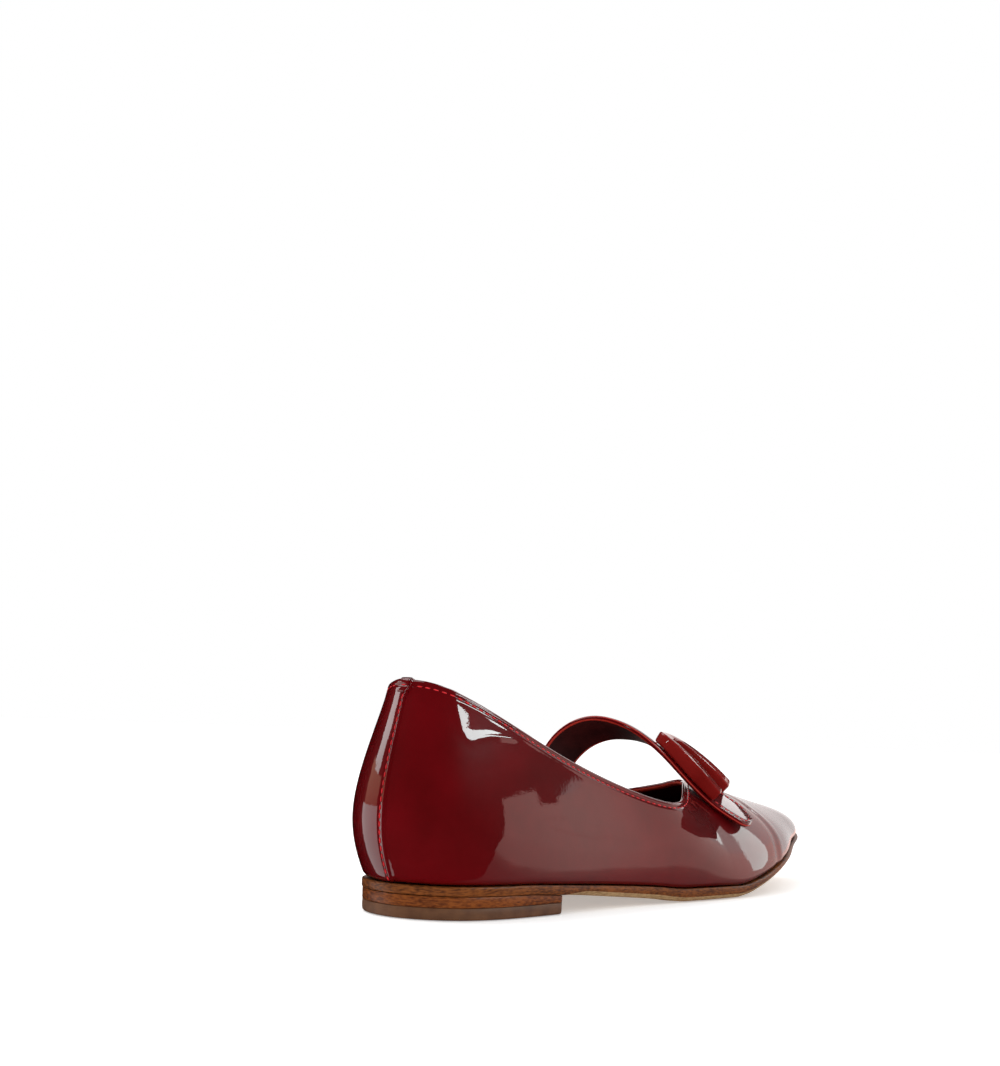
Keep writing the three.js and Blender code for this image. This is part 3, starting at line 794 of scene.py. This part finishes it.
def strap_frame(s):
    """Middle, across (to the front edge) and up, at s mm along the strap."""
    place = lambda t: np.stack([c(t) for c in strap_curves[:3]], -1)
    forth = unit(place(s + 0.01) - place(s - 0.01))
    fore = np.stack([strap_curves[4](s), np.ones_like(s), np.zeros_like(s)], -1)
    fore = unit(fore - forth * (fore * forth).sum(-1, keepdims=True))
    up = np.cross(forth, fore)
    tilt = np.radians(strap_curves[3](s))[..., None]
    over = unit(fore * np.cos(tilt) - up * np.sin(tilt))
    return place(s), over, np.cross(forth, over)


def on_strap(s, w, h):
    """Points at s along, w across and h above the middle of the strap."""
    middle, over, up = strap_frame(np.asarray(s, float))
    return middle + over * np.asarray(w, float)[..., None] + up * np.asarray(h, float)[..., None]


print("strap:", round(STRAP_LONG, 1), "mm long")

# %% [markdown]
# A section of the strap is a closed loop: flat below, painted and rounded at both
# sides, and slightly crowned on top with a dip under each row of stitches. The loop
# is swept along, and narrows round the tip.


# %% The strap
def strap_loop(half):
    """Across and up for one closed section of half width `half`."""
    r = min(STRAP_THICK / 2, half)
    flat = half - r
    top = np.linspace(-flat, flat, 25)
    dip = np.zeros_like(top)
    if half > 2.5:
        for side in (-1, 1):
            dip -= 0.13 * bump_at(top, side * (half - STRAP_STITCH_IN), 0.35)
        dip += 0.10 * bump_at(np.abs(top), half - 1.1, 0.4)
    crown = STRAP_CROWN * (1 - (top / max(half, 0.1)) ** 2) + dip
    turn = np.radians(np.linspace(75, -75, 7))
    right = np.column_stack([flat + r * np.cos(turn), STRAP_THICK / 2 * np.sin(turn)])
    left = np.column_stack([-flat - r * np.cos(turn[::-1]), STRAP_THICK / 2 * np.sin(turn[::-1])])
    bottom = np.column_stack([np.linspace(flat, -flat, 9), np.full(9, -STRAP_THICK / 2)])
    loop = np.vstack([np.column_stack([top, STRAP_THICK / 2 + crown]), right, bottom, left])
    return np.vstack([loop, loop[:1]])


# down the edge: skin, a painted line, skin, paint
EDGE_PARTS = [0, 0, 0, 1, 0, 0, 1, 1]
STRAP_PART = [0] * 24 + EDGE_PARTS + [2] * 8 + EDGE_PARTS[::-1]
half_width = STRAP_WIDTH / 2
body = STRAP_LONG - half_width
stops = [(s, half_width) for s in np.linspace(0, body, 130)]
stops += [(body + half_width * math.sin(a), half_width * math.cos(a))
          for a in np.radians(np.linspace(3, 89, 34))]
loops = []
for s, half in stops:
    section = strap_loop(half)
    loops.append(on_strap(np.full(len(section), s), section[:, 0], section[:, 1]))
strap_points = np.array(loops)
ends = [np.repeat(strap_points[k].mean(0)[None], strap_points.shape[1], 0) for k in (0, -1)]
strap_points = np.concatenate([ends[0][None], strap_points, ends[1][None]])
# rows of the grid run round the section, so that each row has one finish
strap = wrapped("strap_patent", strap_points.transpose(1, 0, 2), [PATENT, EDGE_PAINT, LINING],
                STRAP_PART)
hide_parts("strap")

# %% [markdown]
# ## The covered buckle
# The buckle is a three-sided frame wrapped in the same patent leather, closed towards
# the inner side and open towards the tip. Its bars are soft rounded squares in
# section, because the leather bridges the frame's corners.


# %% The covered buckle
def buckle_path():
    """Along and across for the middle of the bars, from the near bar's end round to the far bar's."""
    half, start = FRAME_SPREAD / 2, FRAME_FROM + FRAME_CORNER

    def one_side(side, end):
        straight = [(s, side * half) for s in np.linspace(end, start, 46)]
        corner = [(start - FRAME_CORNER * math.sin(a), side * (half - FRAME_CORNER * (1 - math.cos(a))))
                  for a in np.radians(np.linspace(9, 90, 10))]
        return straight + corner

    cross = [(FRAME_FROM, k) for k in np.linspace(FRAME_CORNER - half, half - FRAME_CORNER, 9)[1:-1]]
    return np.array(one_side(-1, FRAME_TO) + cross + one_side(1, FRAME_TO + FRAME_LONGER)[::-1])


path = buckle_path()
heading = unit(np.gradient(path, axis=0))
square = np.column_stack([heading[:, 1], -heading[:, 0]])
run = run_along(path)
end_gap = np.minimum(run, run[-1] - run)
END_ROUND = 0.9
share = 0.8 + 0.2 * np.sqrt(1 - (1 - np.clip(end_gap / END_ROUND, 0, 1)) ** 2)
# flat end faces: the first and last ring shrink onto their middle
caps = [0.0, 0.5, 0.95]
path, square = (np.pad(rows, ((3, 3), (0, 0)), mode="edge") for rows in (path, square))
share = np.concatenate([share[0] * np.array(caps), share, share[-1] * np.array(caps[::-1])])
theta = np.linspace(0, 2 * math.pi, 41)
soft = 0.36                                  # between a circle (1) and a square (0)
cs, sn = np.cos(theta), np.sin(theta)
across = np.sign(cs) * np.abs(cs) ** soft * FRAME_BAR / 2
tall = np.sign(sn) * np.abs(sn) ** soft / 2
foot = STRAP_THICK / 2 + SEAM + 0.1
halfway, reach = (FRAME_FROM + FRAME_TO) / 2, (FRAME_TO - FRAME_FROM) / 2 + FRAME_LONGER
rings = []
for (s, k), (ns, nk), part in zip(path, square, share):
    high = FRAME_HIGH + FRAME_CROWN * (1 - ((s - halfway) / reach) ** 2)
    high += FRAME_RISE * (0.5 + k / FRAME_SPREAD)
    side = k + nk * across * part
    rings.append(on_strap(s + ns * across * part + FRAME_SLANT * side, side + FRAME_SHIFT,
                          foot + high / 2 + high * tall * part))
# the buckle's lighter copy of the patent leather is a painted highlight
buckle = wrapped("buckle_covered", np.array(rings), [BUCKLE_LIT_PATENT])
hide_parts("buckle")

# %% [markdown]
# ## Stitches
# Each stitch is a short bead of thread that sinks at both ends. One low sphere,
# stretched along its row, is enough at this size, and a whole row is one piece.


# %% A row of stitches
STITCH_PITCH = 2.6
STITCH_SIZE = (0.95, 0.26, 0.26)             # half length, half width, half height


def stitch_row(name, line, normals, pitch=STITCH_PITCH):
    """Beads along the line (n, xyz in mm), each standing on the surface."""
    run = run_along(line)
    count = int(run[-1] // pitch)
    at = lambda rows, s: np.array([np.interp(s, run, rows[:, c]) for c in range(3)])
    bm = bmesh.new()
    for k in range(count):
        s = (k + 0.5) * run[-1] / count
        forth = unit(at(line, s + 0.4) - at(line, s - 0.4))
        side = unit(np.cross(unit(at(normals, s)), forth))
        up = np.cross(forth, side)
        basis = np.column_stack([forth, side, up]) * np.array(STITCH_SIZE) / 1000
        matrix = Matrix.Translation(Vector(to_frame(at(line, s)))) @ Matrix(basis.tolist()).to_4x4()
        bmesh.ops.create_uvsphere(bm, u_segments=6, v_segments=5, radius=1.0, matrix=matrix)
    for face in bm.faces:
        face.smooth = True
    return finished(name, bm, [THREAD])


def on_upper(q, d, lift=0.02):
    """Points and normals on the finished outside, d mm below the topline."""
    q, d = np.atleast_1d(q), np.atleast_1d(d) * np.ones(len(np.atleast_1d(q)))
    v, climb_here = height_below(q, d[:, None])
    v = v[:, 0]
    point, up = shell(q, v), shell_normal(q, v)
    place = np.where(q > 0.5, q - 1, q) * ROUND_LENGTH
    high = relief(point, place, d, climb_here - d)
    return point + up * (high + lift)[:, None], up


row_q = np.linspace(0.012, 0.988, 900)
line, ups = on_upper(row_q, STITCH_IN)
stitch_row("topline_stitches", line, ups)

seam_d = np.linspace(2.2, 62, 120)
line, ups = on_upper((lap_edge(seam_d) - SEAM_STITCH_IN) / ROUND_LENGTH, seam_d)
stitch_row("back_seam_stitches", line, ups, pitch=2.4)

# %% [markdown]
# The strap's stitches run down one side, round the tip and back up the other, in the
# dip of its section.

# %% Stitches round the strap
w = half_width - STRAP_STITCH_IN
go = np.linspace(30, body, 90)
turn = np.radians(np.linspace(0, 180, 40))[1:-1]
s_line = np.concatenate([go, body + w * np.sin(turn), go[::-1]])
w_line = np.concatenate([np.full(90, -w), -w * np.cos(turn), np.full(90, w)])
crown_here = STRAP_CROWN * (1 - (w / half_width) ** 2) - 0.10
line = on_strap(s_line, w_line, np.full(len(s_line), STRAP_THICK / 2 + crown_here))
_, _, ups = strap_frame(s_line)
stitch_row("strap_stitches", line, ups, pitch=2.3)

# %% [markdown]
# ## The back tab
# A small patch is folded over the top of the back seam and stitched through, so that
# the seam can't open. It lies on the relief that is already there.

# %% The back tab
TAB = dict(inner=-3.4, outer=3.0, deep=4.2, thick=0.45, rim=0.45, sunk=0.9)
tab_along = np.linspace(TAB["inner"], TAB["outer"], 33)
tab_q = tab_along / ROUND_LENGTH
tab_side = np.minimum(tab_along - TAB["inner"], TAB["outer"] - tab_along)


def tab_height(from_rim):
    """The tab's thickness, rounded down to nothing at its rim."""
    return TAB["thick"] * np.sqrt(np.clip(1 - (1 - np.clip(from_rim / TAB["rim"], 0, 1)) ** 2, 0, 1))


tab_rows = []
for d in np.linspace(TAB["deep"], 0.9, 18):
    point, up = on_upper(tab_q, d, lift=0.0)
    high = tab_height(np.minimum(tab_side, TAB["deep"] - d)) - 0.12 * bump_at(d, STITCH_IN, 0.4)
    tab_rows.append(point + up * high[:, None])
v_top, _ = height_below(tab_q, np.full((len(tab_q), 1), EDGE_ROLL))
v_next, _ = height_below(tab_q, np.full((len(tab_q), 1), EDGE_ROLL + 0.3))
point, up = shell(tab_q, v_top[:, 0]), shell_normal(tab_q, v_top[:, 0])
climb_dir = unit(point - shell(tab_q, v_next[:, 0]))
for angle in np.radians(np.linspace(20, 180, 10)):
    swing = np.cos(angle) * up + np.sin(angle) * climb_dir
    lap = 0.25 * (1 + np.cos(angle))
    tab_rows.append(point - EDGE_ROLL * up + swing * (EDGE_ROLL + tab_height(tab_side) + lap)[:, None])
# the hidden underside lies below the face, towards the middle of the roll
face_rows = np.array(tab_rows)
inward = unit(face_rows - (point - EDGE_ROLL * up)[None])
under_rows = (face_rows - inward * TAB["sunk"] * np.clip(tab_side / 0.25, 0, 1)[None, :, None])[::-1]
tab = wrapped("back_tab", np.concatenate([face_rows, under_rows, face_rows[:1]]), [PATENT])
row_q = np.linspace(TAB["inner"] + 0.6, TAB["outer"] - 0.6, 20) / ROUND_LENGTH
line, ups = on_upper(row_q, STITCH_IN, lift=TAB["thick"] - 0.1)
stitch_row("back_tab_stitches", line, ups)

# %% [markdown]
# ## The studio
# A plain white floor, a pale surround and soft light. Patent leather shows what stands
# around it more than its own colour, so what it reflects is set apart from what lights
# it. The floor and the surround light the shoe, and the floor is kept out of reflections.

# %% Floor and surround
FLOOR_RADIUS = 4.0       # metres
FLOOR_DROP = 0.0002      # the floor lies this far under the shoe
bm = bmesh.new()
bmesh.ops.create_circle(bm, cap_ends=True, segments=96, radius=FLOOR_RADIUS)
floor_white = Finish("floor_white", Roughness=0.9, Base_Color=(0.9, 0.9, 0.9, 1),
                     Emission_Color=(1, 1, 1, 1), Emission_Strength=0.35)
floor = object_of("floor", bm, [floor_white.material])
floor.data.transform(Matrix.Translation((0, 0, -FLOOR_DROP)))
floor.visible_glossy = False
floor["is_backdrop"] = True

world = bpy.data.worlds.new("studio")
bpy.context.scene.world = world
world.use_nodes = True
surround = world.node_tree.nodes["Background"]
surround.inputs["Color"].default_value = (1.0, 1.0, 1.0, 1)
surround.inputs["Strength"].default_value = 1.0

# %% [markdown]
# Apart from the key light, only reflections can see what follows: a black dome that
# hides the surround, screens in front of it, each a patch of a sphere given by the
# directions it covers, and flat cards where a patch has an outline of its own.


# %% Lights and screens
def glow_only(name, bm, stops):
    """An object that only reflections see; it glows by the height (V) of its own UV map."""
    look = bpy.data.materials.new(name)
    look.use_nodes = True
    tree = look.node_tree
    tree.nodes.remove(tree.nodes["Principled BSDF"])
    place = tree.nodes.new("ShaderNodeUVMap")
    parts = tree.nodes.new("ShaderNodeSeparateXYZ")
    shade = ramp(tree.nodes.new, stops)
    glow = tree.nodes.new("ShaderNodeEmission")
    tree.links.new(place.outputs["UV"], parts.inputs["Vector"])
    tree.links.new(parts.outputs["Y"], shade.inputs["Fac"])
    tree.links.new(shade.outputs["Color"], glow.inputs["Color"])
    tree.links.new(glow.outputs["Emission"], tree.nodes["Material Output"].inputs["Surface"])
    new = object_of(name, bm, [look])
    new.visible_camera = False
    new.visible_diffuse = False
    new.visible_shadow = False
    new.visible_transmission = False
    new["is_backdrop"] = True


# places on the shoe, in metres, that the screens are centred on
HEEL_SIDE = (0.025, 0.0, 0.03)
THROAT_SIDE = (0.028, 0.070, 0.028)
BALL_SIDE = (0.031, 0.110, 0.022)
STRAP_TOP = (0.027, 0.122, 0.032)


def even(colour):
    return [(0, colour), (1, colour)]


def screen(name, low, rise, stops, distance=0.8, centre=HEEL_SIDE, high=None):
    """A patch of a sphere. rise is in degrees up, low and high are the degrees round from +Y that its
    lower and upper rims cover, and stops are (share of the height, colour) pairs."""
    high = high or low
    bm = bmesh.new()
    bmesh.ops.create_grid(bm, x_segments=48, y_segments=24, size=0.5)
    layer_uv = bm.loops.layers.uv.new("cut")
    for face in bm.faces:
        for loop in face.loops:
            loop[layer_uv].uv = (loop.vert.co.x + 0.5, loop.vert.co.y + 0.5)
    for vert in bm.verts:
        a, e = vert.co.x + 0.5, vert.co.y + 0.5
        left, right = (low[i] + (high[i] - low[i]) * e for i in (0, 1))
        azimuth = math.radians(left + (right - left) * a)
        up = math.radians(rise[0] + (rise[1] - rise[0]) * e)
        way = Vector((math.sin(azimuth) * math.cos(up), math.cos(azimuth) * math.cos(up), math.sin(up)))
        vert.co = Vector(centre) + way * distance
    glow_only(name, bm, stops)


def card(name, outline, start, along, colour):
    """An upright flat card. It stands at start (x, y) and runs in the direction along (x, y);
    outline holds (distance run, height) pairs in mm."""
    bm = bmesh.new()
    places = [(start[0] + run * along[0], start[1] + run * along[1], high) for run, high in outline]
    bm.faces.new([bm.verts.new(p) for p in to_frame(places)])
    bm.loops.layers.uv.new("cut")
    glow_only(name, bm, even(colour))


def grey(value, warm=0.0):
    return (value * (1 + warm), value, value * (1 - 0.2 * warm))


BLUSH = 0.45             # how much warmer than grey the backdrop is


def blush(*steps):
    """Stops of the backdrop's colour from (position, value) pairs."""
    return [(position, grey(value, BLUSH)) for position, value in steps]


GLARE = (13.0, 15.0, 15.0)
BEIGE = (3.3, 3.5, 3.4)
BLACK = grey(0.0)
key_light = bpy.data.lights.new("key", "AREA")
key_light.shape = "RECTANGLE"
key_light.size = key_light.size_y = 1.2
key_light.energy = 14
key = bpy.data.objects.new("key", key_light)
key.location = (-0.9, -0.3, 1.7)
key.rotation_euler = (Vector((0, 0.08, 0)) - key.location).to_track_quat("-Z", "Y").to_euler()
bpy.context.scene.collection.objects.link(key)
screen("dark_dome", (-180, 180), (-89, 89), even(BLACK), distance=3.0)
screen("backdrop_left", (-48, 6), (-2, 10.3), [(0, grey(0.97, 0.06)), (1, grey(1.0, 0.06))])
screen("backdrop", (6, 53), (-2, 10.3),
       blush((0, 0.95), (0.44, 0.98), (0.48, 0.82), (0.52, 1.0), (0.71, 0.94), (0.74, 0.84), (0.78, 1.0),
             (1, 0.98)), high=(6, 47))
screen("backdrop_high", (-34, 33.5), (10.3, 37), [(0, grey(1.0, 0.2)), (1, grey(1.2))], high=(-34, 12))
screen("backdrop_near", (44, 61), (-2, 17), even(grey(0.98, BLUSH)), 0.3, THROAT_SIDE, high=(44, 59))
screen("backdrop_close", (26, 46), (6, 19), even(grey(0.98, BLUSH)), 0.12, THROAT_SIDE)
screen("lit_floor", (-48, 118), (-80, -2),
       [(0, grey(0.05)), (0.45, grey(0.12)), (0.80, grey(0.3, 0.2))]
       + blush((0.86, 0.45), (0.885, 0.85), (1, 0.93)), high=(-48, 53))
card("flag", [(22, 26), (27, 26.3), (28.7, 24.9), (30.3, 23.4), (31.6, 20.6), (33.1, 22), (35.3, 22.7),
              (37.7, 25), (38.8, 26.5), (38.5, 28), (37.7, 30.5), (36.3, 32.5), (35, 34.5), (31, 41),
              (28, 45), (22, 45)], (0, 197), (1, -2), BLACK)
card("beige", [(36, 45), (36.5, 37), (38, 30), (38.5, 24), (39.8, 17), (41, 12.5), (44.5, 8), (52, 8),
               (53, 14), (53, 21), (51, 28.5), (48, 33.5), (44, 39), (41, 42.5), (37, 45)],
     (0, 187), (1, 0), BEIGE)
card("buckle_flag", [(8, 46), (26, 41.5), (26.5, 56), (8, 66)], (0, 151), (1, 0), BLACK)
card("wrinkle_card", [(14, 64.2), (22, 63), (30, 62.6), (46, 62.4), (58, 62.6), (58, 64), (50, 65),
                      (42, 67.3), (30, 69), (14, 69)], (45, 0), (0, 1), GLARE)
screen("flag_far", (-28, 9), (20.3, 26.8), even(BLACK), 0.08, BALL_SIDE, high=(-28, 4))
screen("strap_panel", (-14, 8), (22, 38), even(grey(3.8)), 0.15, STRAP_TOP)
screen("top_panel", (-30, 30), (38, 60), [(0, grey(3.0)), (1, grey(4.0))])
screen("cool_ceiling", (38, 88), (28, 36), even(GLARE))
screen("side_low", (-138, -101), (-45, 2), [(0, grey(1.5)), (1, grey(2.1))])
screen("side_mid", (-134, -106), (2, 14), [(0, (1.0, 0.5, 0.35)), (1, (1.6, 0.9, 0.6))])
screen("side_top", (-127, -113), (14, 27), [(0, grey(4.0)), (1, grey(6.0))])

# %% [markdown]
# ## The camera
# A long lens at the height of the shoe looks at its outer side from behind.

# %% Camera
LENS = 57.49             # mm, on a sensor 36 mm wide
CAMERA_PLACE = Vector((0.3445, -0.4072, 0.0614))
LOOKING = Vector((-0.6245, 0.774, 0.1045)).normalized()
ROLL = math.radians(2.1)
camera_data = bpy.data.cameras.new("camera")
camera = bpy.data.objects.new("camera", camera_data)
bpy.context.scene.collection.objects.link(camera)
camera_data.lens = LENS
camera_data.clip_start = 0.01
level_right = LOOKING.cross(Vector((0, 0, 1))).normalized()
level_up = level_right.cross(LOOKING)
right = level_right * math.cos(ROLL) + level_up * math.sin(ROLL)
up_axis = -level_right * math.sin(ROLL) + level_up * math.cos(ROLL)
turned = Matrix((right, up_axis, -LOOKING)).transposed()
camera.matrix_world = Matrix.Translation(CAMERA_PLACE) @ turned.to_4x4()
bpy.context.scene.camera = camera
bpy.context.scene.view_settings.view_transform = "Standard"
print("camera to the heel:", round(CAMERA_PLACE.length, 2), "m")

# %% [markdown]
# ## Sizes, and the end
# The box of the finished surfaces is printed, as the box of the solids was at the start.
# The two have to agree to a few millimetres, or a piece is in the wrong place.

# %% Print the sizes and finish
view_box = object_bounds()
plain = lambda box: [[float(c) for c in corner] for corner in box]
{"cad": plain(cad_box), "visual": plain(view_box)}
print("box of the shoe:", [[round(c, 4) for c in corner] for corner in plain(view_box)])
